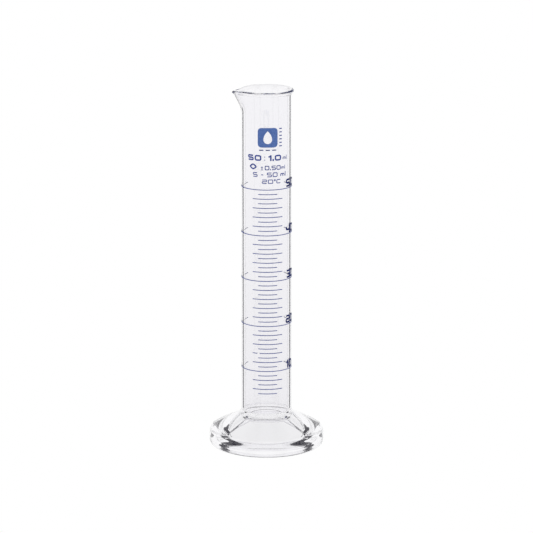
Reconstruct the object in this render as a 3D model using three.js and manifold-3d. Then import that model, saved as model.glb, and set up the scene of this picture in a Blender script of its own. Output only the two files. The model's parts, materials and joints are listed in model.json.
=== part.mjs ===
// A 50 ml graduated measuring cylinder of clear glass: a tube with a closed floor, a turned-out rim
// and a pouring lip, fused onto a round hollow foot, with its scale printed on in blue enamel.
//
// Millimetres, +Z up along the tube's axis, origin at the centre of the foot's underside.
// The scale faces -Y, the lip points to -X, and azimuths run from -Y round towards +X.

import * as THREE from 'three';
import { mergeVertices } from 'three/addons/utils/BufferGeometryUtils.js';
import Module from 'manifold-3d';

const wasm = await Module();
wasm.setup();

const { degToRad } = THREE.MathUtils;

// ---- driving dimensions ----

const FACETS = 60; // flat sides round every turned piece, so the print lies flat on the tube

const BORE_RADIUS = 11.6;
const WALL = 1.3;
const TUBE_RADIUS = BORE_RADIUS + WALL;
const FLOOR_HEIGHT = 17.9;
const FLOOR_CORNER_RADIUS = 1.4;
const RIM_HEIGHT = 185.8;
const RIM_TURN = degToRad(42); // how far the wall turns outwards at the rim
const RIM_TURN_RADIUS = 2.9;
const RIM_EDGE_RADIUS = 0.85; // the edge is thicker than the wall, and round

const LIP_AZIMUTH = degToRad(-90);
const LIP_SPREAD_AT_EDGE = degToRad(9); // the lip is narrow at the edge and wider lower down
const LIP_SPREAD_AT_START = degToRad(14);
const LIP_START_BELOW_RIM = 12;
const LIP_BEND_SHARE = 0.34; // how much of the lip's height is the curve out of the wall
const LIP_REACH = 3.9; // how far the wall is drawn out at the rim
const LIP_EDGE_RADIUS = 0.8; // the edge is thinner where the lip is drawn out
const LIP_TURN_SHARE = 0.8; // how much of the rim's turn is left at the lip's tip
const LIP_DROP = 1.1; // how much lower the rim is at the lip's tip
const LIP_DROP_SPREAD = degToRad(25);

const FOOT_RADIUS = 29.3;
const FOOT_TOP_ROUND = 2.5;
const FOOT_BOTTOM_ROUND = 2.7;
const FOOT_SLOPE = degToRad(27.5);
const SEAT_HEIGHT = 16.4; // where the tube is fused to the foot
const FLARE_FILLET = 3.2; // between the tube's wall and the foot's slope
const RECESS_MOUTH_RADIUS = 20;
const RECESS_MOUTH_ROUND = 1.5;
const RECESS_SLOPE_FOOT = [19.2, 3]; // radius and height
const RECESS_SLOPE_TOP = [10, 12];
const RECESS_DOME_HEIGHT = 13;

const PRINT_GAP = 0.03;
const PRINT_THICKNESS = 0.06;
const SCALE_AZIMUTH = degToRad(2.8);
const LINE_WIDTH = 0.38;
const SHORT_LINE_HALF_ANGLE = degToRad(22);
const LONG_LINE_HALF_ANGLE = degToRad(35.7);
const RING_HALF_ANGLE = degToRad(128);
const CAPACITY = 50; // millilitres, as the next three are
const FIRST_LINE = 5;
const LONG_LINE_EVERY = 2;
const RING_EVERY = 10;

const DIGIT_HEIGHT = 4.2;
const DIGIT_WIDTH = 3.8;
const DIGIT_ONE_WIDTH = 2.1;
const DIGIT_STROKE = 0.92;
const DIGIT_GAP = 0.5;
const DIGIT_LIFT = 0.4; // from the top of a ring mark to the foot of its numeral
const NUMERAL_START = degToRad(49);

const EMBLEM_SIZE = 10;
const EMBLEM_HEIGHT = 163;

// One millilitre fills this much of the bore's height.
const CUBIC_MM_PER_ML = 1000;
const RISE_PER_ML = CUBIC_MM_PER_ML / (Math.PI * BORE_RADIUS ** 2);

// ---- materials ----

const clearGlass = new THREE.MeshStandardMaterial({
  color: 0xeef1f4,
  roughness: 0.03,
  metalness: 0,
  transparent: true,
  opacity: 0.35,
});
const scaleEnamel = new THREE.MeshStandardMaterial({ color: 0x3f519b, roughness: 0.45, metalness: 0 });
const emblemEnamel = new THREE.MeshStandardMaterial({ color: 0x3a5ba8, roughness: 0.45, metalness: 0 });

// ---- helpers ----

const heightOfVolume = (millilitres) => FLOOR_HEIGHT + millilitres * RISE_PER_ML;

function namedMesh(name, geometry, material) {
  const mesh = new THREE.Mesh(geometry, material);
  mesh.name = name;
  return mesh;
}

// Points on an arc of a profile, from one angle to another, measured from the outward direction.
function profileArc(centreRadius, centreHeight, radius, from, to, steps) {
  return Array.from({ length: steps + 1 }, (_, k) => {
    const angle = from + (to - from) * (k / steps);
    return new THREE.Vector2(
      centreRadius + radius * Math.cos(angle),
      centreHeight + radius * Math.sin(angle),
    );
  });
}

// A closed geometry as a solid that can be joined and cut.
function solidOf(geometry) {
  const bare = geometry.clone();
  bare.deleteAttribute('normal');
  bare.deleteAttribute('uv');
  const merged = mergeVertices(bare);
  return new wasm.Manifold(new wasm.Mesh({
    numProp: 3,
    vertProperties: new Float32Array(merged.attributes.position.array),
    triVerts: new Uint32Array(merged.index.array),
  }));
}

function geometryOf(solid) {
  const { vertProperties, triVerts } = solid.getMesh();
  const geometry = new THREE.BufferGeometry();
  geometry.setAttribute('position', new THREE.BufferAttribute(vertProperties, 3));
  geometry.setIndex(new THREE.BufferAttribute(triVerts, 1));
  geometry.computeVertexNormals();
  return geometry;
}

// ---- the measuring tube ----

// The angle between an azimuth and the middle of the lip.
function swingFromLip(azimuth) {
  const swing = azimuth - LIP_AZIMUTH;
  return Math.atan2(Math.sin(swing), Math.cos(swing));
}

// How strongly the lip draws the wall out at an azimuth, from 0 to 1 along its middle. It is a wide
// hollow where it starts and a narrow one at the edge.
function lipStrength(azimuth, opening) {
  const spread = THREE.MathUtils.lerp(LIP_SPREAD_AT_START, LIP_SPREAD_AT_EDGE, opening);
  return 1 / Math.cosh(swingFromLip(azimuth) / spread);
}

// How far the lip has opened at a height, from 0 at its start to 1 at the rim's edge.
function lipOpening(height) {
  const start = RIM_HEIGHT - LIP_START_BELOW_RIM;
  const full = RIM_HEIGHT - RIM_EDGE_RADIUS;
  const run = THREE.MathUtils.clamp((height - start) / (full - start), 0, 1);
  const rise = run < LIP_BEND_SHARE ? run ** 2 / (2 * LIP_BEND_SHARE) : run - LIP_BEND_SHARE / 2;
  return rise / (1 - LIP_BEND_SHARE / 2);
}

// The wall's outside, edge and inside where it turns out to the rim, before the lip is drawn.
function turnedOutRim(strength) {
  const TURN_STEPS = 4;
  const EDGE_STEPS = 5;
  const turn = RIM_TURN * THREE.MathUtils.lerp(1, LIP_TURN_SHARE, strength);
  const edgeRadius = THREE.MathUtils.lerp(RIM_EDGE_RADIUS, LIP_EDGE_RADIUS, strength);
  const startHeight = RIM_HEIGHT - edgeRadius - RIM_TURN_RADIUS * Math.sin(turn);
  const wallMiddle = TUBE_RADIUS - WALL / 2;
  const outside = [];
  const inside = [];
  const middle = new THREE.Vector2();
  for (let k = 0; k <= TURN_STEPS; k += 1) {
    const angle = turn * (k / TURN_STEPS);
    const halfWall = THREE.MathUtils.lerp(WALL / 2, edgeRadius, THREE.MathUtils.smoothstep(k, 0, TURN_STEPS));
    const outwards = new THREE.Vector2(Math.cos(angle), -Math.sin(angle)).multiplyScalar(halfWall);
    middle.set(
      wallMiddle + RIM_TURN_RADIUS * (1 - Math.cos(angle)),
      startHeight + RIM_TURN_RADIUS * Math.sin(angle),
    );
    outside.push(middle.clone().add(outwards));
    inside.unshift(middle.clone().sub(outwards));
  }
  const edge = profileArc(middle.x, middle.y, edgeRadius, -turn, Math.PI - turn, EDGE_STEPS);
  return [...outside, ...edge.slice(1, -1), ...inside];
}

// Points of a profile, moved out and a little down as the lip draws the hot glass.
function drawnToLip(points, azimuth) {
  const drop = LIP_DROP * Math.exp(-((swingFromLip(azimuth) / LIP_DROP_SPREAD) ** 2));
  return points.map((point) => {
    const opening = lipOpening(point.y);
    const reach = LIP_REACH * opening * lipStrength(azimuth, opening);
    return new THREE.Vector2(point.x + reach, point.y - drop * opening ** 2);
  });
}

// The tube's profile at an azimuth, from the axis underneath, up the outside and down the inside
// to the axis.
function tubeProfile(azimuth) {
  const LIP_STEPS = 6;
  const FILLET_STEPS = 4;
  const lipStart = RIM_HEIGHT - LIP_START_BELOW_RIM;
  const filletTurn = Math.PI / 2 - FOOT_SLOPE;
  const filletCentre = SEAT_HEIGHT + FLARE_FILLET * Math.sin(filletTurn);
  const rim = turnedOutRim(lipStrength(azimuth, 1));

  const wallRun = (radius, end) => Array.from(
    { length: LIP_STEPS },
    (_, k) => new THREE.Vector2(radius, THREE.MathUtils.lerp(lipStart, end, k / LIP_STEPS)),
  );
  const outside = wallRun(TUBE_RADIUS, rim[0].y);
  const inside = wallRun(BORE_RADIUS, rim[rim.length - 1].y).reverse();

  return [
    new THREE.Vector2(0, SEAT_HEIGHT),
    ...profileArc(
      TUBE_RADIUS + FLARE_FILLET, filletCentre, FLARE_FILLET,
      Math.PI + filletTurn, Math.PI, FILLET_STEPS,
    ),
    ...drawnToLip([...outside, ...rim, ...inside], azimuth),
    ...profileArc(
      BORE_RADIUS - FLOOR_CORNER_RADIUS, FLOOR_HEIGHT + FLOOR_CORNER_RADIUS, FLOOR_CORNER_RADIUS,
      0, -Math.PI / 2, FILLET_STEPS,
    ),
    new THREE.Vector2(0, FLOOR_HEIGHT),
  ];
}

// A turned tube whose profile changes with the azimuth, so that the lip stands out on one side.
function measuringTube() {
  const firstProfile = tubeProfile(0);
  const geometry = new THREE.LatheGeometry(firstProfile, FACETS);
  const position = geometry.attributes.position;
  for (let side = 0; side <= FACETS; side += 1) {
    const azimuth = (side % FACETS) * ((2 * Math.PI) / FACETS);
    tubeProfile(azimuth).forEach((point, k) => {
      const vertex = side * firstProfile.length + k;
      position.setXYZ(vertex, point.x * Math.sin(azimuth), point.y, point.x * Math.cos(azimuth));
    });
  }
  geometry.rotateX(Math.PI / 2);
  return geometry;
}

// ---- the foot ----

// The foot's profile from the axis inside the hollow underside, out over the standing ring,
// up the edge and in along the slope to the seat.
function footProfile() {
  const EDGE_STEPS = 5;
  const [slopeTopRadius, slopeTopHeight] = RECESS_SLOPE_TOP;
  const seatRadius = TUBE_RADIUS + FLARE_FILLET * (1 - Math.sin(FOOT_SLOPE));
  const shoulderRadius = FOOT_RADIUS - FOOT_TOP_ROUND * (1 - Math.sin(FOOT_SLOPE));
  const shoulderHeight = SEAT_HEIGHT - (shoulderRadius - seatRadius) * Math.tan(FOOT_SLOPE);
  const topCentreHeight = shoulderHeight - FOOT_TOP_ROUND * Math.cos(FOOT_SLOPE);
  return [
    new THREE.Vector2(0, RECESS_DOME_HEIGHT),
    new THREE.Vector2(slopeTopRadius / 2, (RECESS_DOME_HEIGHT * 3 + slopeTopHeight) / 4),
    new THREE.Vector2(slopeTopRadius, slopeTopHeight),
    new THREE.Vector2(...RECESS_SLOPE_FOOT),
    ...profileArc(
      RECESS_MOUTH_RADIUS + RECESS_MOUTH_ROUND, RECESS_MOUTH_ROUND, RECESS_MOUTH_ROUND,
      Math.PI, (3 * Math.PI) / 2, EDGE_STEPS,
    ),
    ...profileArc(
      FOOT_RADIUS - FOOT_BOTTOM_ROUND, FOOT_BOTTOM_ROUND, FOOT_BOTTOM_ROUND,
      -Math.PI / 2, 0, EDGE_STEPS,
    ),
    ...profileArc(
      FOOT_RADIUS - FOOT_TOP_ROUND, topCentreHeight, FOOT_TOP_ROUND,
      0, Math.PI / 2 - FOOT_SLOPE, EDGE_STEPS,
    ),
    new THREE.Vector2(seatRadius, SEAT_HEIGHT),
    new THREE.Vector2(0, SEAT_HEIGHT),
  ];
}

function foot() {
  const geometry = new THREE.LatheGeometry(footProfile(), FACETS);
  geometry.rotateX(Math.PI / 2);
  return geometry;
}

// ---- printed marks ----

// The print is as faceted as the tube. This is the point at an azimuth on the flat side there,
// where the corners of the facets lie at a given radius.
function pointOnFacet(cornerRadius, azimuth) {
  const step = (2 * Math.PI) / FACETS;
  const middle = (Math.floor(azimuth / step) + 0.5) * step;
  const radius = (cornerRadius * Math.cos(step / 2)) / Math.cos(azimuth - middle);
  return new THREE.Vector2(radius * Math.sin(azimuth), -radius * Math.cos(azimuth));
}

// A line of enamel round part of the tube, centred on a height.
function printedArc(centreAzimuth, halfAngle, height) {
  const step = (2 * Math.PI) / FACETS;
  const from = centreAzimuth - halfAngle;
  const to = centreAzimuth + halfAngle;
  const azimuths = [from];
  for (let side = Math.ceil(from / step); side * step < to; side += 1) azimuths.push(side * step);
  azimuths.push(to);
  const inner = azimuths.map((azimuth) => pointOnFacet(TUBE_RADIUS + PRINT_GAP, azimuth));
  const outer = azimuths.map((azimuth) => pointOnFacet(TUBE_RADIUS + PRINT_GAP + PRINT_THICKNESS, azimuth));
  const band = new THREE.Shape([...outer, ...inner.reverse()]);
  const geometry = new THREE.ExtrudeGeometry(band, { depth: LINE_WIDTH, bevelEnabled: false });
  geometry.translate(0, 0, height - LINE_WIDTH / 2);
  return geometry;
}

// A skin of enamel right round the tube, from which flat artwork is cut.
function enamelSkin(lowest, highest) {
  const circle = (radius) => Array.from(
    { length: FACETS },
    (_, side) => pointOnFacet(radius, side * ((2 * Math.PI) / FACETS)),
  );
  const ring = new THREE.Shape(circle(TUBE_RADIUS + PRINT_GAP + PRINT_THICKNESS));
  ring.holes.push(new THREE.Path(circle(TUBE_RADIUS + PRINT_GAP)));
  const geometry = new THREE.ExtrudeGeometry(ring, { depth: highest - lowest, bevelEnabled: false });
  geometry.translate(0, 0, lowest);
  return solidOf(geometry);
}

// Flat artwork, drawn with its middle at the origin, wrapped onto the tube at an azimuth and height.
function printedArtwork(shapes, azimuth, height, artworkHeight) {
  const MARGIN = 1;
  const plates = shapes.map((shape) => {
    const plate = new THREE.ExtrudeGeometry(shape, {
      depth: TUBE_RADIUS + MARGIN,
      bevelEnabled: false,
      curveSegments: 5,
    });
    plate.rotateX(Math.PI / 2);
    plate.rotateZ(azimuth);
    plate.translate(0, 0, height);
    return solidOf(plate);
  });
  const artwork = plates.reduce((whole, plate) => whole.add(plate));
  const half = artworkHeight / 2 + MARGIN;
  return geometryOf(artwork.intersect(enamelSkin(height - half, height + half)));
}

// ---- numerals ----

// The pen strokes of each digit, on a box one unit wide and one unit high.
const DIGIT_STROKES = {
  0: [{ closed: true, corners: [[0, 0], [1, 0], [1, 1], [0, 1]] }],
  1: [{ corners: [[0, 0.72], [1, 0.94]] }, { corners: [[1, 0], [1, 1]] }],
  2: [{ corners: [[0, 1], [1, 1], [1, 0.5], [0, 0.5], [0, 0], [1, 0]] }],
  3: [{ corners: [[0, 1], [1, 1], [1, 0], [0, 0]] }, { corners: [[0.2, 0.5], [1, 0.5]] }],
  4: [{ corners: [[0, 0.8], [0, 0.34], [1, 0.34]] }, { corners: [[1, 0], [1, 1]] }],
  5: [{ corners: [[1, 1], [0, 1], [0, 0.5], [1, 0.5], [1, 0], [0, 0]] }],
};

// A pen path with its corners rounded off.
function roundedPath(corners, closed, cornerRadius) {
  const CORNER_STEPS = 4;
  const path = new THREE.Path();
  const count = corners.length;
  corners.forEach((corner, k) => {
    const isEnd = !closed && (k === 0 || k === count - 1);
    if (isEnd && k === 0) path.moveTo(corner.x, corner.y);
    else if (isEnd) path.lineTo(corner.x, corner.y);
    else {
      const before = corners[(k + count - 1) % count];
      const after = corners[(k + 1) % count];
      const entry = corner.clone().add(before.clone().sub(corner).setLength(cornerRadius));
      const exit = corner.clone().add(after.clone().sub(corner).setLength(cornerRadius));
      if (k === 0) path.moveTo(entry.x, entry.y);
      else path.lineTo(entry.x, entry.y);
      path.quadraticCurveTo(corner.x, corner.y, exit.x, exit.y);
    }
  });
  return path.getPoints(CORNER_STEPS);
}

// The outline of a pen path drawn with a broad stroke.
function strokeShape(points, closed) {
  const count = points.length;
  const edge = (side) => points.map((point, k) => {
    const before = points[closed ? (k + count - 1) % count : Math.max(k - 1, 0)];
    const after = points[closed ? (k + 1) % count : Math.min(k + 1, count - 1)];
    const along = after.clone().sub(before).normalize();
    const across = new THREE.Vector2(-along.y, along.x).multiplyScalar((side * DIGIT_STROKE) / 2);
    return point.clone().add(across);
  });
  if (!closed) return new THREE.Shape([...edge(1), ...edge(-1).reverse()]);
  const shape = new THREE.Shape(edge(-1));
  shape.holes.push(new THREE.Path(edge(1)));
  return shape;
}

// A digit's shapes, with its middle at the origin. The strokes' middles stay half a stroke
// inside its box, and only an upright stroke of its own runs to the full height.
function digitShapes(digit, width) {
  return DIGIT_STROKES[digit].map(({ corners, closed = false }) => {
    const isUpright = corners.length === 2 && corners[0][0] === corners[1][0];
    const span = new THREE.Vector2(width - DIGIT_STROKE, DIGIT_HEIGHT - (isUpright ? 0 : DIGIT_STROKE));
    const placed = corners.map(
      ([across, up]) => new THREE.Vector2((across - 0.5) * span.x, (up - 0.5) * span.y),
    );
    return strokeShape(roundedPath(placed, closed, DIGIT_STROKE), closed);
  });
}

const digitWidth = (digit) => (digit === '1' ? DIGIT_ONE_WIDTH : DIGIT_WIDTH);

// The two digits of a ring mark's volume, standing just above it.
function numeral(millilitres) {
  const height = heightOfVolume(millilitres) + LINE_WIDTH / 2 + DIGIT_LIFT + DIGIT_HEIGHT / 2;
  let start = NUMERAL_START;
  return [...String(millilitres)].map((digit, place) => {
    const width = digitWidth(digit);
    const azimuth = start + width / 2 / TUBE_RADIUS;
    start += (width + DIGIT_GAP) / TUBE_RADIUS;
    const geometry = printedArtwork(digitShapes(digit, width), azimuth, height, DIGIT_HEIGHT);
    return namedMesh(`numeral_${millilitres}_${place === 0 ? 'tens' : 'units'}`, geometry, scaleEnamel);
  });
}

// ---- the emblem: a square badge with rounded corners and a drop left clear in it ----

function emblemShape() {
  const half = EMBLEM_SIZE / 2;
  const corner = EMBLEM_SIZE * 0.2;
  const badge = new THREE.Shape();
  badge.moveTo(-half + corner, -half);
  badge.lineTo(half - corner, -half);
  badge.quadraticCurveTo(half, -half, half, -half + corner);
  badge.lineTo(half, half - corner);
  badge.quadraticCurveTo(half, half, half - corner, half);
  badge.lineTo(-half + corner, half);
  badge.quadraticCurveTo(-half, half, -half, half - corner);
  badge.lineTo(-half, -half + corner);
  badge.quadraticCurveTo(-half, -half, -half + corner, -half);

  const dropRadius = EMBLEM_SIZE * 0.22;
  const dropCentre = -EMBLEM_SIZE * 0.1;
  const dropTip = EMBLEM_SIZE * 0.34;
  const drop = new THREE.Path();
  drop.moveTo(0, dropTip);
  drop.quadraticCurveTo(-dropRadius, dropCentre + dropRadius, -dropRadius, dropCentre);
  drop.absarc(0, dropCentre, dropRadius, Math.PI, 2 * Math.PI, false);
  drop.quadraticCurveTo(dropRadius, dropCentre + dropRadius, 0, dropTip);
  badge.holes.push(drop);
  return badge;
}

// ---- assembly ----

const group = new THREE.Group();
group.add(namedMesh('measuring_tube', measuringTube(), clearGlass));
group.add(namedMesh('foot', foot(), clearGlass));

for (let millilitres = FIRST_LINE; millilitres <= CAPACITY; millilitres += 1) {
  const height = heightOfVolume(millilitres);
  const label = String(millilitres).padStart(2, '0');
  if (millilitres % RING_EVERY === 0) {
    const geometry = printedArc(SCALE_AZIMUTH, RING_HALF_ANGLE, height);
    group.add(namedMesh(`ring_mark_${label}_ml`, geometry, scaleEnamel));
    group.add(...numeral(millilitres));
  } else {
    const isLong = millilitres % LONG_LINE_EVERY === 0;
    const halfAngle = isLong ? LONG_LINE_HALF_ANGLE : SHORT_LINE_HALF_ANGLE;
    const geometry = printedArc(SCALE_AZIMUTH, halfAngle, height);
    group.add(namedMesh(`${isLong ? 'long' : 'short'}_line_${label}_ml`, geometry, scaleEnamel));
  }
}

const emblem = printedArtwork([emblemShape()], SCALE_AZIMUTH, EMBLEM_HEIGHT, EMBLEM_SIZE);
group.add(namedMesh('emblem', emblem, emblemEnamel));

export default group;
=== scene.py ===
"""A clear glass measuring cylinder with a blue enamel scale, built round its CAD frame.

Metres, +Z up along the tube's axis. The scale faces -Y and the pouring lip points to -X.
Azimuths run from -Y round towards +X.
"""

import json
import math

import bmesh
import bpy
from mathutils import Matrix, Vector, noise


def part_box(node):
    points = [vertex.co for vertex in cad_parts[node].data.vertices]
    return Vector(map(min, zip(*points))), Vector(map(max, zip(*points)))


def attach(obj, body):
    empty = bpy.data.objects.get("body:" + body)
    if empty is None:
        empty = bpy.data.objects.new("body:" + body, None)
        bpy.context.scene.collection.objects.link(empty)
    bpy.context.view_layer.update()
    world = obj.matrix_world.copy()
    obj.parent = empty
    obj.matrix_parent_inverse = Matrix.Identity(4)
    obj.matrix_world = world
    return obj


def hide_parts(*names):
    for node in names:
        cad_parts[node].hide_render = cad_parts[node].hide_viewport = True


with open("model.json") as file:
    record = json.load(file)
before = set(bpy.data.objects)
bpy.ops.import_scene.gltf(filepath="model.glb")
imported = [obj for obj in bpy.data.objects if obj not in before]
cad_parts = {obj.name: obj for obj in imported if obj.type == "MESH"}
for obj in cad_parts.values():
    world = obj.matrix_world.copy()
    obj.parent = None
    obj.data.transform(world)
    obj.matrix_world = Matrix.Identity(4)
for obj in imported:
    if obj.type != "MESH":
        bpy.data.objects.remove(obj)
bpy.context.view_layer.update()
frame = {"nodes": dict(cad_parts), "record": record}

MM = 0.001

# ---- camera ----

CAMERA_DISTANCE = 1.6425
CAMERA_HEIGHT = 0.4834
CAMERA_PITCH = math.radians(13.35)
CAMERA_LENS = 223.4  # focal length in millimetres, on Blender's usual 36 mm sensor

camera_data = bpy.data.cameras.new("camera")
camera_data.lens = CAMERA_LENS
camera = bpy.data.objects.new("camera", camera_data)
camera.location = (0, -CAMERA_DISTANCE, CAMERA_HEIGHT)
camera.rotation_euler = (math.pi / 2 - CAMERA_PITCH, 0, 0)
bpy.context.scene.collection.objects.link(camera)
bpy.context.scene.camera = camera

# ---- sizes: from the frame where it states them ----

tube_low, tube_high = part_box("measuring_tube")
foot_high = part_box("foot")[1]
emblem_low, emblem_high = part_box("emblem")
openings = {opening["name"]: opening["box_m"] for opening in frame["record"]["physics"]["openings"]}

# The CAD's print stands off the glass by a gap. Here the lines and the lettering are sunk into
# the glass a little instead, so that no film of air shows behind them.
PRINT_THICKNESS = 0.06 * MM
PRINT_GAP = 0.03 * MM
PRINT_SINK = 0.01 * MM
PRINT_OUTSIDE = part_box("ring_mark_10_ml")[1].x
TUBE_RADIUS = PRINT_OUTSIDE - PRINT_THICKNESS - PRINT_GAP
PRINT_BACK = TUBE_RADIUS - PRINT_SINK
PRINT_FACE = TUBE_RADIUS + PRINT_GAP

WALL = 1.3 * MM
BORE_RADIUS = TUBE_RADIUS - WALL
FLOOR_CORNER = 1.4 * MM
FLOOR_HEIGHT = openings["measuring_bore"][0][2] - FLOOR_CORNER
RIM_HEIGHT = tube_high.z
RIM_TURN = math.radians(42)  # how far the wall turns outwards at the rim
RIM_TURN_RADIUS = 2.9 * MM
RIM_EDGE_RADIUS = 0.85 * MM  # the edge is thicker than the wall, and round

LIP_AZIMUTH = math.radians(-90)
LIP_SPREAD_AT_EDGE = math.radians(9)
LIP_SPREAD_AT_START = math.radians(14)
LIP_DROP = 1.1 * MM  # how much lower the rim is at the lip's tip
LIP_DROP_SPREAD = math.radians(25)
LIP_START_BELOW_RIM = 12 * MM
LIP_BEND_SHARE = 0.34  # how much of the lip's height is the curve out of the wall
LIP_EDGE_RADIUS = 0.8 * MM
LIP_TURN_SHARE = 0.8  # how much of the rim's turn is left at the lip's tip
LIP_TURN_OUT = RIM_TURN_RADIUS * (1 - math.cos(RIM_TURN * LIP_TURN_SHARE))
LIP_REACH = -tube_low.x - TUBE_RADIUS + WALL / 2 - LIP_EDGE_RADIUS - LIP_TURN_OUT

FOOT_RADIUS = foot_high.x
FOOT_TOP_ROUND = 2.5 * MM
FOOT_BOTTOM_ROUND = 2.7 * MM
FOOT_SLOPE = math.radians(27.5)
SEAT_HEIGHT = foot_high.z  # where the tube is fused to the foot
FLARE_FILLET = 3.2 * MM
RECESS_MOUTH_RADIUS = 20 * MM
RECESS_MOUTH_ROUND = 1.5 * MM
RECESS_SLOPE_FOOT = (19.2 * MM, 3 * MM)  # radius and height
RECESS_SLOPE_TOP = (10 * MM, 12 * MM)
RECESS_DOME_HEIGHT = 13 * MM

SCALE_AZIMUTH = math.radians(2.8)
RING_HALF_ANGLE = math.radians(128)


# ---- materials ----

def new_material(name):
    """A material with its node tree, and the Principled shader that ends it."""
    material = bpy.data.materials.new(name)
    material.use_nodes = True
    return material, material.node_tree, material.node_tree.nodes["Principled BSDF"]


def noise_texture(tree, scale, detail, roughness=0.5, stretch=(1, 1, 1)):
    """Object-space noise; stretch scales each axis before the noise is read."""
    nodes, links = tree.nodes, tree.links
    place = nodes.new("ShaderNodeTexCoord")
    mapping = nodes.new("ShaderNodeMapping")
    mapping.inputs["Scale"].default_value = stretch
    texture = nodes.new("ShaderNodeTexNoise")
    texture.inputs["Scale"].default_value = scale
    texture.inputs["Detail"].default_value = detail
    texture.inputs["Roughness"].default_value = roughness
    links.new(place.outputs["Object"], mapping.inputs["Vector"])
    links.new(mapping.outputs["Vector"], texture.inputs["Vector"])
    return texture


def bump_from(tree, texture, strength, distance):
    """A bump node whose height is a texture's."""
    bump = tree.nodes.new("ShaderNodeBump")
    bump.inputs["Strength"].default_value = strength
    bump.inputs["Distance"].default_value = distance
    tree.links.new(texture.outputs["Fac"], bump.inputs["Height"])
    return bump


def clear_glass():
    """Borosilicate glass, clear but for the faint grey that two walls of it take from the light,
    with the very slight ripples of drawn tubing, long in the way that it was drawn."""
    material, tree, shader = new_material("clear_glass")
    shader.inputs["Base Color"].default_value = (0.952, 0.948, 0.965, 1)
    shader.inputs["Roughness"].default_value = 0.0
    shader.inputs["IOR"].default_value = 1.473
    shader.inputs["Transmission Weight"].default_value = 1.0
    ripples = noise_texture(tree, scale=90, detail=1, stretch=(1, 1, 0.12))
    bump = bump_from(tree, ripples, strength=0.01, distance=0.004 * MM)
    tree.links.new(bump.outputs["Normal"], shader.inputs["Normal"])
    return material


ENAMEL_SPECULAR = 0.02  # low, so that the ink keeps its depth where it is seen edge on


def enamel(name, thin_colour, thick_colour):
    """Fired enamel: its colour drifts where the print is thinner, and its skin is a little uneven."""
    material, tree, shader = new_material(name)
    nodes, links = tree.nodes, tree.links
    drift = noise_texture(tree, scale=900, detail=4)
    ramp = nodes.new("ShaderNodeValToRGB")
    ramp.color_ramp.elements[0].position = 0.35
    ramp.color_ramp.elements[0].color = (*thick_colour, 1)
    ramp.color_ramp.elements[1].position = 0.68
    ramp.color_ramp.elements[1].color = (*thin_colour, 1)
    links.new(drift.outputs["Fac"], ramp.inputs["Fac"])
    links.new(ramp.outputs["Color"], shader.inputs["Base Color"])
    grain = noise_texture(tree, scale=4000, detail=3)
    roughness = nodes.new("ShaderNodeMapRange")
    roughness.inputs["To Min"].default_value = 0.38
    roughness.inputs["To Max"].default_value = 0.58
    links.new(grain.outputs["Fac"], roughness.inputs["Value"])
    links.new(roughness.outputs["Result"], shader.inputs["Roughness"])
    bump = bump_from(tree, grain, strength=0.3, distance=0.02 * MM)
    links.new(bump.outputs["Normal"], shader.inputs["Normal"])
    shader.inputs["Specular IOR Level"].default_value = ENAMEL_SPECULAR
    return material


GLASS = clear_glass()
# Each ink has its colour where it lies thin, then where it lies thick.
SCALE_ENAMEL = enamel("scale_enamel", (0.09, 0.13, 0.46), (0.055, 0.09, 0.36))
# Painted shade: the numerals' ink is the scale's blue made much darker, as the numerals look where they
# turn away at the side of the tube.
NUMERAL_INK_PAINTED_SHADE = enamel("numeral_ink_painted_shade", (0.010, 0.028, 0.20), (0.006, 0.017, 0.13))
EMBLEM_ENAMEL = enamel("emblem_enamel", (0.155, 0.26, 0.62), (0.12, 0.215, 0.55))


# ---- the glass ----

def mix(a, b, share):
    return a + (b - a) * share


def profile_arc(centre_radius, centre_height, radius, start, end, steps):
    """Points (radius, height) on an arc; angles are measured from the outward direction."""
    angles = [start + (end - start) * k / steps for k in range(steps + 1)]
    return [(centre_radius + radius * math.cos(a), centre_height + radius * math.sin(a)) for a in angles]


def straight(start, end, step=1.5 * MM):
    """Points strictly between two ends, with one close to each so that the shading stays flat."""
    length = math.dist(start, end)
    count = max(2, round(length / step))
    shares = [k / count for k in range(1, count)]
    return [tuple(a + (b - a) * share for a, b in zip(start, end)) for share in shares]


def lip_strength(azimuth, opening):
    """How strongly the lip draws the wall out at an azimuth, from 0 to 1 along its middle. It is
    a wide hollow where it starts and a narrow one at the edge."""
    swing = math.remainder(azimuth - LIP_AZIMUTH, 2 * math.pi)
    return 1 / math.cosh(swing / mix(LIP_SPREAD_AT_START, LIP_SPREAD_AT_EDGE, opening))


def lip_opening(height):
    """How far the lip has opened at a height, from 0 at its start to 1 at the rim's edge."""
    start = RIM_HEIGHT - LIP_START_BELOW_RIM
    full = RIM_HEIGHT - RIM_EDGE_RADIUS
    run = min(max((height - start) / (full - start), 0), 1)
    rise = run ** 2 / (2 * LIP_BEND_SHARE) if run < LIP_BEND_SHARE else run - LIP_BEND_SHARE / 2
    return rise / (1 - LIP_BEND_SHARE / 2)


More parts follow.
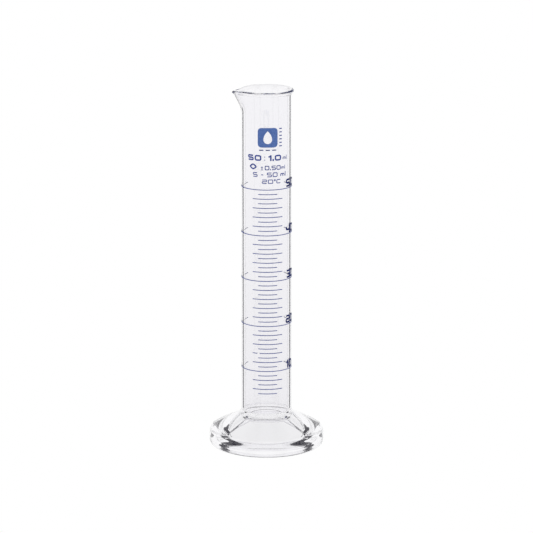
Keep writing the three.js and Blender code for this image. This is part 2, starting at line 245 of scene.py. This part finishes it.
def underside_and_edge():
    """The foot's profile from the axis in its hollow, over the standing ring and up its edge to
    the seat of the tube."""
    mouth_steps, edge_steps = 8, 14
    seat_radius = TUBE_RADIUS + FLARE_FILLET * (1 - math.sin(FOOT_SLOPE))
    shoulder_radius = FOOT_RADIUS - FOOT_TOP_ROUND * (1 - math.sin(FOOT_SLOPE))
    shoulder_height = SEAT_HEIGHT - (shoulder_radius - seat_radius) * math.tan(FOOT_SLOPE)
    top_centre_height = shoulder_height - FOOT_TOP_ROUND * math.cos(FOOT_SLOPE)
    dome_step = (RECESS_SLOPE_TOP[0] / 2, mix(RECESS_DOME_HEIGHT, RECESS_SLOPE_TOP[1], 0.25))
    mouth = profile_arc(
        RECESS_MOUTH_RADIUS + RECESS_MOUTH_ROUND, RECESS_MOUTH_ROUND, RECESS_MOUTH_ROUND,
        math.pi, 1.5 * math.pi, mouth_steps,
    )
    bottom_edge = profile_arc(
        FOOT_RADIUS - FOOT_BOTTOM_ROUND, FOOT_BOTTOM_ROUND, FOOT_BOTTOM_ROUND,
        -math.pi / 2, 0, edge_steps,
    )
    top_edge = profile_arc(
        FOOT_RADIUS - FOOT_TOP_ROUND, top_centre_height, FOOT_TOP_ROUND,
        0, math.pi / 2 - FOOT_SLOPE, edge_steps,
    )
    seat = (seat_radius, SEAT_HEIGHT)
    return [
        (0, RECESS_DOME_HEIGHT), dome_step,
        RECESS_SLOPE_TOP, *straight(RECESS_SLOPE_TOP, RECESS_SLOPE_FOOT),
        RECESS_SLOPE_FOOT, *mouth,
        *straight(mouth[-1], bottom_edge[0]), *bottom_edge,
        *straight(bottom_edge[-1], top_edge[0]), *top_edge,
        *straight(top_edge[-1], seat),
    ]


def turned_out_rim(strength):
    """The wall's outside, edge and inside where it turns out to the rim, before the lip is drawn.
    Where the lip is strong, it turns out less."""
    turn_steps, edge_steps = 12, 18
    turn = RIM_TURN * mix(1, LIP_TURN_SHARE, strength)
    edge_radius = mix(RIM_EDGE_RADIUS, LIP_EDGE_RADIUS, strength)
    start = RIM_HEIGHT - edge_radius - RIM_TURN_RADIUS * math.sin(turn)
    outside, inside = [], []
    for k in range(turn_steps + 1):
        share = k / turn_steps
        eased = share * share * (3 - 2 * share)
        angle = turn * share
        half = mix(WALL / 2, edge_radius, eased)
        radius = TUBE_RADIUS - WALL / 2 + RIM_TURN_RADIUS * (1 - math.cos(angle))
        height = start + RIM_TURN_RADIUS * math.sin(angle)
        outside.append((radius + half * math.cos(angle), height - half * math.sin(angle)))
        inside.append((radius - half * math.cos(angle), height + half * math.sin(angle)))
    edge = profile_arc(radius, height, edge_radius, -turn, math.pi - turn, edge_steps)
    return outside + edge[1:-1] + inside[::-1]


def drawn_to_lip(points, azimuth):
    """Points of a profile, moved out and a little down as the lip draws the hot glass."""
    swing = math.remainder(azimuth - LIP_AZIMUTH, 2 * math.pi)
    drop = LIP_DROP * math.exp(-(swing / LIP_DROP_SPREAD) ** 2)
    drawn = []
    for radius, height in points:
        opening = lip_opening(height)
        reach = LIP_REACH * opening * lip_strength(azimuth, opening)
        drawn.append((radius + reach, height - drop * opening ** 2))
    return drawn


def tube_profile(azimuth):
    """The tube from its flare over the foot, up the outside and down the inside to the axis."""
    lip_steps, flare_steps, corner_steps = 24, 12, 10
    fillet_turn = math.pi / 2 - FOOT_SLOPE
    fillet_centre = SEAT_HEIGHT + FLARE_FILLET * math.sin(fillet_turn)
    lip_start = RIM_HEIGHT - LIP_START_BELOW_RIM
    rim = turned_out_rim(lip_strength(azimuth, 1))

    def wall_run(radius, end):
        heights = [mix(lip_start, end, k / lip_steps) for k in range(lip_steps)]
        return [(radius, height) for height in heights]

    flare = profile_arc(
        TUBE_RADIUS + FLARE_FILLET, fillet_centre, FLARE_FILLET,
        math.pi + fillet_turn, math.pi, flare_steps,
    )
    floor_corner = profile_arc(
        BORE_RADIUS - FLOOR_CORNER, FLOOR_HEIGHT + FLOOR_CORNER, FLOOR_CORNER,
        0, -math.pi / 2, corner_steps,
    )
    outside = wall_run(TUBE_RADIUS, rim[0][1])
    inside = wall_run(BORE_RADIUS, rim[-1][1])[::-1]
    return [
        *flare, *straight(flare[-1], outside[0]),
        *drawn_to_lip([*outside, *rim, *inside], azimuth),
        *straight(inside[-1], floor_corner[0]), *floor_corner,
        *straight(floor_corner[-1], (0, FLOOR_HEIGHT)), (0, FLOOR_HEIGHT),
    ]


def turned_mesh(name, profile_at, sides):
    """A closed body turned round the axis, whose profile may change with the azimuth. Each
    profile starts and ends on the axis, in a single vertex there."""
    mesh = bmesh.new()
    azimuths = [2 * math.pi * side / sides for side in range(sides)]
    profiles = [profile_at(azimuth) for azimuth in azimuths]
    first = mesh.verts.new((0, 0, profiles[0][0][1]))
    last = mesh.verts.new((0, 0, profiles[0][-1][1]))
    columns = []
    for azimuth, profile in zip(azimuths, profiles):
        across, along = math.sin(azimuth), -math.cos(azimuth)
        ring = [mesh.verts.new((r * across, r * along, height)) for r, height in profile[1:-1]]
        columns.append([first, *ring, last])
    for side in range(sides):
        left, right = columns[side], columns[(side + 1) % sides]
        for k in range(len(left) - 1):
            corners = [left[k], right[k], right[k + 1], left[k + 1]]
            face = mesh.faces.new(list(dict.fromkeys(corners)))
            face.smooth = True
    data = bpy.data.meshes.new(name)
    mesh.to_mesh(data)
    mesh.free()
    return data


def add_piece(name, data, material, slot, *replaced):
    """Links a piece, gives it its material, and hides the CAD parts that it replaces."""
    piece = bpy.data.objects.new(name, data)
    bpy.context.scene.collection.objects.link(piece)
    data.materials.append(material)
    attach(piece, "root")
    if replaced:
        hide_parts(*replaced)


def glass_body():
    """The tube and the foot in one unbroken body of glass, as they are once fused."""
    sides = 288
    lower = underside_and_edge()

    def profile_at(azimuth):
        return lower + tube_profile(azimuth)

    data = turned_mesh("glass_body", profile_at, sides)
    add_piece("glass_body", data, GLASS, "clear_glass", "measuring_tube", "foot")


# ---- printed marks ----

WOBBLE = 0.12  # the share by which a printed line's width comes and goes
WOBBLE_LENGTH = 0.5 * MM


def on_tube(across, height, radius):
    """The point reached by going a distance across the tube's face from azimuth 0."""
    azimuth = across / TUBE_RADIUS
    return (radius * math.sin(azimuth), -radius * math.cos(azimuth), height)


def ribbon(mesh, path, width, closed=False):
    """A raised ribbon of enamel that follows a path (across, height) on the tube's face."""
    count = len(path)
    sections = []
    for k, (across, height) in enumerate(path):
        before = path[(k - 1) % count] if closed else path[max(k - 1, 0)]
        after = path[(k + 1) % count] if closed else path[min(k + 1, count - 1)]
        along = (Vector(after) - Vector(before)).normalized()
        wobble = 1 + WOBBLE * noise.noise(Vector((across, height, 0)) / WOBBLE_LENGTH)
        side = Vector((-along.y, along.x)) * width / 2 * wobble
        left = (across + side.x, height + side.y)
        right = (across - side.x, height - side.y)
        sections.append([
            mesh.verts.new(on_tube(*left, PRINT_BACK)),
            mesh.verts.new(on_tube(*left, PRINT_FACE)),
            mesh.verts.new(on_tube(*right, PRINT_FACE)),
            mesh.verts.new(on_tube(*right, PRINT_BACK)),
        ])
    pairs = list(zip(sections, sections[1:]))
    if closed:
        pairs.append((sections[-1], sections[0]))
    else:
        mesh.faces.new(sections[0])
        mesh.faces.new(sections[-1][::-1])
    for start, end in pairs:
        for k in range(4):
            mesh.faces.new([start[k], end[k], end[(k + 1) % 4], start[(k + 1) % 4]])


def finish_print(name, mesh, material, *replaced):
    """Turns a finished mesh of ribbons into a piece of print."""
    bmesh.ops.recalc_face_normals(mesh, faces=mesh.faces)
    data = bpy.data.meshes.new(name)
    mesh.to_mesh(data)
    mesh.free()
    add_piece(name, data, material, "scale_enamel", *replaced)


ARC_STEP = 0.35 * MM


def line_path(start_azimuth, end_azimuth, height):
    """Points along a level line on the tube's face."""
    start, end = start_azimuth * TUBE_RADIUS, end_azimuth * TUBE_RADIUS
    count = max(2, round((end - start) / ARC_STEP))
    return [(mix(start, end, k / count), height) for k in range(count + 1)]


# A speck of print is missing from one long line.
CHIPPED_LINE = "long_line_14_ml"
CHIP = (math.radians(-21), math.radians(-16))


def printed_lines():
    """Each graduation line, as a fine ribbon where its CAD solid is."""
    for node in frame["nodes"]:
        if "_line_" not in node and "ring_mark" not in node:
            continue
        low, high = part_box(node)
        height = (low.z + high.z) / 2
        if "ring_mark" in node:
            start, end = SCALE_AZIMUTH - RING_HALF_ANGLE, SCALE_AZIMUTH + RING_HALF_ANGLE
        else:
            start, end = math.asin(low.x / PRINT_OUTSIDE), math.asin(high.x / PRINT_OUTSIDE)
        stretches = [(start, CHIP[0]), (CHIP[1], end)] if node == CHIPPED_LINE else [(start, end)]
        mesh = bmesh.new()
        for stretch in stretches:
            ribbon(mesh, line_path(*stretch, height), high.z - low.z)
        finish_print(f"print_{node}", mesh, SCALE_ENAMEL, node)


# ---- lettering: pen strokes on a box one unit wide and one unit high ----

# Each glyph has its width as a share of a full sign's, and its strokes. "o" is the degree sign,
# "+" is plus or minus, and "<" is a plain diamond. A stroke that is marked as meeting another
# ends at that one's edge.
LOOP, OPEN, MEETS = "loop", "open", "meets"
GLYPHS = {
    "0": (1, [(LOOP, [(0, 0), (1, 0), (1, 1), (0, 1)])]),
    "1": (0.55, [(OPEN, [(1, 0), (1, 1)]), (MEETS, [(0, 0.72), (1, 0.94)])]),
    "2": (1, [(OPEN, [(0, 1), (1, 1), (1, 0.5), (0, 0.5), (0, 0), (1, 0)])]),
    "3": (1, [(OPEN, [(0, 1), (1, 1), (1, 0), (0, 0)]), (MEETS, [(0.2, 0.5), (1, 0.5)])]),
    "4": (1, [(OPEN, [(1, 0), (1, 1)]), (MEETS, [(0, 0.8), (0, 0.34), (1, 0.34)])]),
    "5": (1, [(OPEN, [(1, 1), (0, 1), (0, 0.5), (1, 0.5), (1, 0), (0, 0)])]),
    "m": (1, [
        (OPEN, [(0, 0), (0, 0.6), (1, 0.6), (1, 0)]), (MEETS, [(0.5, 0), (0.5, 0.6)]),
    ]),
    "l": (0.2, [(OPEN, [(0, 0), (0, 1)])]),
    "C": (0.9, [(OPEN, [(1, 1), (0, 1), (0, 0), (1, 0)])]),
    "o": (0.35, [(LOOP, [(0, 0.72), (1, 0.72), (1, 1.05), (0, 1.05)])]),
    "+": (0.75, [
        (OPEN, [(0.5, 0.28), (0.5, 1)]), (MEETS, [(0, 0.64), (0.5, 0.64)]),
        (MEETS, [(1, 0.64), (0.5, 0.64)]), (OPEN, [(0, 0), (1, 0)]),
    ]),
    "-": (0.6, [(OPEN, [(0, 0.5), (1, 0.5)])]),
    ".": (0.2, [(OPEN, [(0, -0.02), (0, 0.1)])]),
    ":": (0.2, [(OPEN, [(0, 0.12), (0, 0.18)]), (OPEN, [(0, 0.82), (0, 0.88)])]),
    "<": (1, [(LOOP, [(0, 0.5), (0.5, 0), (1, 0.5), (0.5, 1)])]),
    " ": (0.35, []),
}


def rounded_path(corners, closed, corner_radius, step):
    """A pen path with its corners rounded off and points along it at about one step."""
    count = len(corners)
    points = []

    def extend(target):
        if points:
            origin = points[-1]
            pieces = max(1, round((target - origin).length / step))
            points.extend(origin.lerp(target, k / pieces) for k in range(1, pieces + 1))
        else:
            points.append(target)

    for k, corner in enumerate(corners):
        if not closed and k in (0, count - 1):
            extend(corner)
            continue
        before, after = corners[k - 1], corners[(k + 1) % count]
        radius = min(corner_radius, (before - corner).length / 2, (after - corner).length / 2)
        entry = corner + (before - corner).normalized() * radius
        leave = corner + (after - corner).normalized() * radius
        extend(entry)
        for turn in (0.25, 0.5, 0.75, 1):
            points.append(entry.lerp(corner, turn).lerp(corner.lerp(leave, turn), turn))
    if closed:
        extend(points[0])
        points.pop()
    return points


CORNER_SHARE = 0.95  # a corner's radius, as a share of the stroke
MEETING_SHARE = 0.45  # how far a stroke stops short of the middle of the one that it meets


def draw_glyph(mesh, glyph, left, baseline, height, full_width, stroke):
    """Adds one glyph's strokes to a mesh, and returns the width that it takes."""
    share, strokes = GLYPHS[glyph]
    width = full_width * share
    inner_width = max(width - stroke, 0)
    inner_height = height - stroke
    for kind, corners in strokes:
        placed = [
            Vector((left + stroke / 2 + x * inner_width, baseline + stroke / 2 + y * inner_height))
            for x, y in corners
        ]
        if kind == MEETS:
            placed[-1] += (placed[-2] - placed[-1]).normalized() * stroke * MEETING_SHARE
        elif kind == OPEN and len(corners) == 2:
            run = (placed[1] - placed[0]).normalized() * stroke / 2
            if abs(run.x) < abs(run.y):
                placed = [placed[0] - run, placed[1] + run]
        path = rounded_path(placed, kind == LOOP, stroke * CORNER_SHARE, stroke / 2)
        ribbon(mesh, [tuple(point) for point in path], stroke, closed=kind == LOOP)
    return width


def draw_text(mesh, text, left, baseline, height, full_width, stroke, gap):
    """Draws signs one after another, with a gap between each and the next."""
    for glyph in text:
        left += draw_glyph(mesh, glyph, left, baseline, height, full_width, stroke) + gap


DIGIT_WIDTH = 3.8 * MM
DIGIT_STROKE = 0.92 * MM


def numerals():
    """The digits beside the ring marks, each where its CAD solid is."""
    for node in frame["nodes"]:
        if not node.startswith("numeral"):
            continue
        _, volume, place = node.split("_")
        glyph = volume[0] if place == "tens" else volume[1]
        low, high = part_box(node)
        start = math.atan2(low.x, -low.y) * TUBE_RADIUS
        mesh = bmesh.new()
        draw_glyph(mesh, glyph, start, low.z, high.z - low.z, DIGIT_WIDTH, DIGIT_STROKE)
        finish_print(f"print_{node}", mesh, NUMERAL_INK_PAINTED_SHADE, node)


# The print between the emblem and the top ring mark: each run of signs, then where it starts
# (to the right of azimuth 0), its baseline, its height, the width of a full sign, its stroke
# and the gap between signs, all in millimetres.
INSCRIPTION = {
    "capacity": ("50", -10.3, 151.1, 3.0, 3.6, 0.78, 0.5),
    "capacity_colon": (":", -1.1, 151.1, 2.6, 2.0, 0.4, 0.4),
    "division": ("1.0", 0.6, 151.1, 3.0, 3.6, 0.78, 0.45),
    "division_unit": ("ml", 8.8, 151.3, 2.2, 2.0, 0.36, 0.35),
    "diamond": ("<", -9.4, 146.3, 3.5, 4.6, 0.75, 0.4),
    "tolerance_sign": ("+", -3.0, 146.4, 2.0, 1.9, 0.32, 0.3),
    "tolerance": ("0.50", -0.9, 146.4, 2.3, 2.35, 0.45, 0.3),
    "tolerance_unit": ("ml", 7.8, 146.5, 2.0, 1.9, 0.34, 0.3),
    "range": ("5 - 50 ml", -7.2, 142.8, 2.4, 2.6, 0.45, 0.35),
    "temperature": ("20oC", -2.4, 139.4, 2.2, 2.7, 0.42, 0.4),
}


def inscription():
    """The generic small print: one piece for each run of signs."""
    for name, (text, left, baseline, *sizes) in INSCRIPTION.items():
        height, full_width, stroke, gap = (size * MM for size in sizes)
        mesh = bmesh.new()
        draw_text(mesh, text, left * MM, baseline * MM, height, full_width, stroke, gap)
        finish_print(f"inscription_{name}", mesh, SCALE_ENAMEL)


MARK_STROKE = 0.55 * MM
SCALE_MIDDLE = SCALE_AZIMUTH * TUBE_RADIUS  # across the tube's face


def bars_under_emblem():
    length, pitch, below = 2.2 * MM, 3.3 * MM, 1.4 * MM
    height = emblem_low.z - below
    mesh = bmesh.new()
    for place in (-1, 0, 1):
        middle = SCALE_MIDDLE + place * pitch
        ribbon(mesh, [(middle - length / 2, height), (middle + length / 2, height)], MARK_STROKE)
    finish_print("bars_under_emblem", mesh, SCALE_ENAMEL)


def ticks_beside_emblem():
    count, length, from_middle = 6, 1.5 * MM, 6.1 * MM
    left = SCALE_MIDDLE + from_middle
    lowest, highest = emblem_low.z + MARK_STROKE, emblem_high.z - MARK_STROKE
    mesh = bmesh.new()
    for k in range(count):
        height = mix(lowest, highest, k / (count - 1))
        ribbon(mesh, [(left, height), (left + length, height)], MARK_STROKE)
    finish_print("ticks_beside_emblem", mesh, SCALE_ENAMEL)


def colour_emblem():
    """The emblem stays as the CAD's own solid, and only takes its ink."""
    for material_slot in frame["nodes"]["emblem"].material_slots:
        material_slot.material = EMBLEM_ENAMEL


# ---- build ----

glass_body()
printed_lines()
numerals()
inscription()
bars_under_emblem()
ticks_beside_emblem()
colour_emblem()


# ---- stage ----

FLOOR_REACH = 30  # metres


def lit_floor():
    """The pale floor. The glass looks past it, into the surroundings, which are about as white."""
    material = bpy.data.materials.new("lit_floor")
    material.use_nodes = True
    tree = material.node_tree
    tree.nodes.clear()
    glow = tree.nodes.new("ShaderNodeEmission")
    glow.inputs["Color"].default_value = (1, 1, 1, 1)
    glow.inputs["Strength"].default_value = 1.0
    output = tree.nodes.new("ShaderNodeOutputMaterial")
    tree.links.new(glow.outputs["Emission"], output.inputs["Surface"])

    corners = [(-1, -1, 0), (1, -1, 0), (1, 1, 0), (-1, 1, 0)]
    data = bpy.data.meshes.new("floor")
    placed = [(FLOOR_REACH * x, FLOOR_REACH * y, z) for x, y, z in corners]
    data.from_pydata(placed, [], [(0, 1, 2, 3)])
    data.materials.append(material)
    floor = bpy.data.objects.new("floor", data)
    bpy.context.scene.collection.objects.link(floor)
    floor.visible_diffuse = False
    floor.visible_glossy = False
    floor.visible_transmission = False


def calculate(tree, operation, *values):
    """A maths node on numbers or on other nodes' outputs."""
    node = tree.nodes.new("ShaderNodeMath")
    node.operation = operation
    for socket, value in zip(node.inputs, values):
        if isinstance(value, (int, float)):
            socket.default_value = value
        else:
            tree.links.new(value, socket)
    return node.outputs["Value"]


def step(tree, value, start, end, before=0.0, after=1.0):
    """A smooth change from one level to another, between two values."""
    node = tree.nodes.new("ShaderNodeMapRange")
    node.interpolation_type = "SMOOTHSTEP"
    node.inputs["From Min"].default_value = start
    node.inputs["From Max"].default_value = end
    node.inputs["To Min"].default_value = before
    node.inputs["To Max"].default_value = after
    tree.links.new(value, node.inputs["Value"])
    return node.outputs["Result"]


# The surroundings face four ways: front, back and both sides. An angle "from" or "to" is taken
# sideways from the nearest of the four, and a "low" or "high" one is taken up from level.
HALF_QUARTER = math.pi / 4  # half of the quarter turn that each way takes up
SOFTNESS = math.radians(0.7)
STRIP_FROM = math.radians(27.5)
STRIP_TO = math.radians(33)
WIDE_STRIP_TO = math.radians(41)
WIDE_STRIP_LOW = math.radians(-20)
UPPER_SHADE_FROM = math.radians(34)
UPPER_SHADE_LOW = math.radians(6)
TABLE_LEVEL = 0.93
TABLE_EDGE_LOW = math.radians(-17)
TABLE_EDGE_HIGH = math.radians(-9)
CEILING_LEVEL = 0.32
CEILING_EDGE_LOW = math.radians(28)
CEILING_EDGE_HIGH = math.radians(42)
SHADE_COLOUR = (0.012, 0.010, 0.022)


def strips_seen(tree, paths):
    """1 for light that has come straight through the glass, or by one reflection inside its wall.
    The strips are left out of all other reflections, which would draw upright bands on the tube."""
    straight_through = calculate(tree, "LESS_THAN", paths.outputs["Glossy Depth"], 0.5)
    inside_wall = calculate(
        tree, "MULTIPLY",
        calculate(tree, "COMPARE", paths.outputs["Glossy Depth"], 1, 0.5),
        calculate(tree, "COMPARE", paths.outputs["Transmission Depth"], 2, 0.5),
    )
    return calculate(tree, "MAXIMUM", straight_through, inside_wall)


def shade(tree, azimuth, elevation, paths):
    """1 where it is dark: in the upright strips, wider at the back of the stage, and from a
    little above level in the corners between the four ways."""
    aside = calculate(tree, "PINGPONG", azimuth, HALF_QUARTER)
    at_back = calculate(
        tree, "MULTIPLY",
        calculate(tree, "LESS_THAN", calculate(tree, "ABSOLUTE", azimuth), HALF_QUARTER),
        calculate(tree, "GREATER_THAN", elevation, WIDE_STRIP_LOW),
    )
    strip_to = calculate(tree, "MULTIPLY_ADD", at_back, WIDE_STRIP_TO - STRIP_TO, STRIP_TO)
    before_end = calculate(tree, "LESS_THAN", aside, strip_to)
    strips = calculate(tree, "MULTIPLY", before_end, strips_seen(tree, paths))
    past_start = step(tree, aside, STRIP_FROM - SOFTNESS, STRIP_FROM + SOFTNESS)
    upper = calculate(
        tree, "MULTIPLY",
        step(tree, aside, UPPER_SHADE_FROM - SOFTNESS, UPPER_SHADE_FROM + SOFTNESS),
        step(tree, elevation, UPPER_SHADE_LOW, UPPER_SHADE_LOW + SOFTNESS),
    )
    return calculate(tree, "MAXIMUM", calculate(tree, "MULTIPLY", past_start, strips), upper)


def surroundings():
    """White all round, with what a photographer adds to draw clear glass on a white ground: a
    darker ceiling, dark strips, and dark corners above them. The camera itself sees plain white."""
    world = bpy.data.worlds.new("surroundings")
    world.use_nodes = True
    tree = world.node_tree
    place = tree.nodes.new("ShaderNodeTexCoord")
    split = tree.nodes.new("ShaderNodeSeparateXYZ")
    tree.links.new(place.outputs["Generated"], split.inputs["Vector"])
    azimuth = calculate(tree, "ARCTAN2", split.outputs["X"], split.outputs["Y"])
    elevation = calculate(tree, "ARCSINE", split.outputs["Z"])
    paths = tree.nodes.new("ShaderNodeLightPath")

    past_shade = calculate(tree, "SUBTRACT", 1.0, shade(tree, azimuth, elevation, paths))
    table = step(tree, elevation, TABLE_EDGE_LOW, TABLE_EDGE_HIGH, TABLE_LEVEL, 1.0)
    ceiling = step(tree, elevation, CEILING_EDGE_LOW, CEILING_EDGE_HIGH, 1.0, CEILING_LEVEL)
    light = calculate(tree, "MULTIPLY", calculate(tree, "MULTIPLY", table, ceiling), past_shade)
    level = calculate(tree, "MAXIMUM", light, paths.outputs["Is Camera Ray"])
    colour = tree.nodes.new("ShaderNodeMix")
    colour.data_type = "RGBA"
    colour.inputs["A"].default_value = (*SHADE_COLOUR, 1)
    colour.inputs["B"].default_value = (1, 1, 1, 1)
    tree.links.new(level, colour.inputs["Factor"])
    tree.links.new(colour.outputs["Result"], tree.nodes["Background"].inputs["Color"])
    bpy.context.scene.world = world


def light_paths():
    """The glass guides light along its wall, from the rim down to the foot, over many
    reflections, so light is followed for longer than usual."""
    bounces = 64
    cycles = bpy.context.scene.cycles
    cycles.max_bounces = bounces
    cycles.glossy_bounces = bounces
    cycles.transmission_bounces = bounces


lit_floor()
surroundings()
light_paths()
bpy.context.scene.view_settings.view_transform = "Standard"
